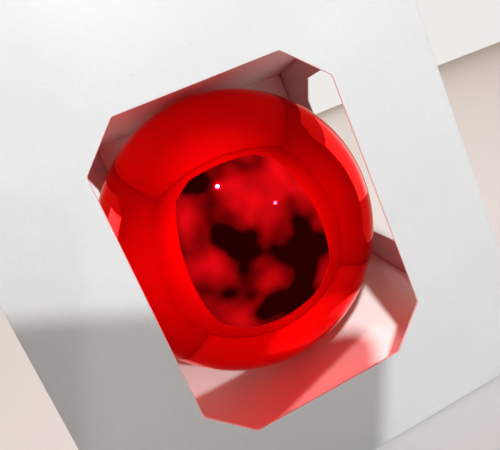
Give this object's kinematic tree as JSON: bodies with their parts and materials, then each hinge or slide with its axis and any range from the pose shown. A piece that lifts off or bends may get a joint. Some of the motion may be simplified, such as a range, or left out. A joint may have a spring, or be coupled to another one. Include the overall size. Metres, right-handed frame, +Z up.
{
  "type": "windowed gift box with ball ornament",
  "caption": "Square white card gift box with eight-sided cut windows on three sides, a tuck lid and a folded insert that holds a large mirror-finish ball ornament.",
  "frame": {"origin": "middle of the box's underside, on the surface it stands on", "axes": "+Z up; the front panel and its window face -Y; +X to the right as seen from the front"},
  "size_m": [0.107, 0.107, 0.1239],
  "materials": {
    "white_card": "coated white paperboard with a soft sheen, matte cut edges",
    "insert_card": "uncoated white paperboard, slightly fibrous",
    "red_mirror": "red mirror lacquer under a clear gloss coat, finely scratched",
    "gold_metal": "bright pressed gold-coloured metal"
  },
  "bodies": {
    "carton": {"front_panel": "white_card", "back_panel": "white_card", "left_panel": "white_card", "right_panel": "white_card", "glue_flap": "white_card", "bottom_outer_flap": "white_card", "bottom_inner_flap": "white_card", "bottom_dust_flap_left": "white_card", "bottom_dust_flap_right": "white_card", "insert_base": "insert_card", "insert_riser": "insert_card", "insert_platform": "insert_card"},
    "lid": {"lid_panel": "white_card"},
    "tuck_flap": {"lid_tuck_flap": "white_card"},
    "left_dust_flap": {"dust_flap_left": "white_card"},
    "right_dust_flap": {"dust_flap_right": "white_card"},
    "ornament": {"ball_shell": "red_mirror", "ball_cap": "gold_metal", "hanger_wire": "gold_metal"}
  },
  "joints": [
    {"name": "lid_fold", "type": "hinge", "parent": "carton", "child": "lid", "pos_m": [0, 0.05325, 0.12362], "axis": [-1, 0, 0], "range_deg": [0, 200]},
    {"name": "tuck_fold", "type": "hinge", "parent": "lid", "child": "tuck_flap", "pos_m": [0, -0.0526, 0.12362], "axis": [-1, 0, 0], "range_deg": [0, 70]},
    {"name": "left_dust_fold", "type": "hinge", "parent": "carton", "child": "left_dust_flap", "pos_m": [-0.05325, 0, 0.12298], "axis": [0, -1, 0], "range_deg": [0, 175]},
    {"name": "right_dust_fold", "type": "hinge", "parent": "carton", "child": "right_dust_flap", "pos_m": [0.05325, 0, 0.12298], "axis": [0, 1, 0], "range_deg": [0, 175]},
    {"name": "ball_turn", "type": "hinge", "parent": "carton", "child": "ornament", "pos_m": [-0.0027, 0.001, 0.0526], "axis": [0, 0, 1], "continuous": true}
  ],
  "couplings": [
    {"joint": "tuck_fold", "follows": "lid_fold", "ratio": 0.33},
    {"joint": "left_dust_fold", "follows": "lid_fold", "ratio": 0.85},
    {"joint": "right_dust_fold", "follows": "lid_fold", "ratio": 0.85}
  ]
}
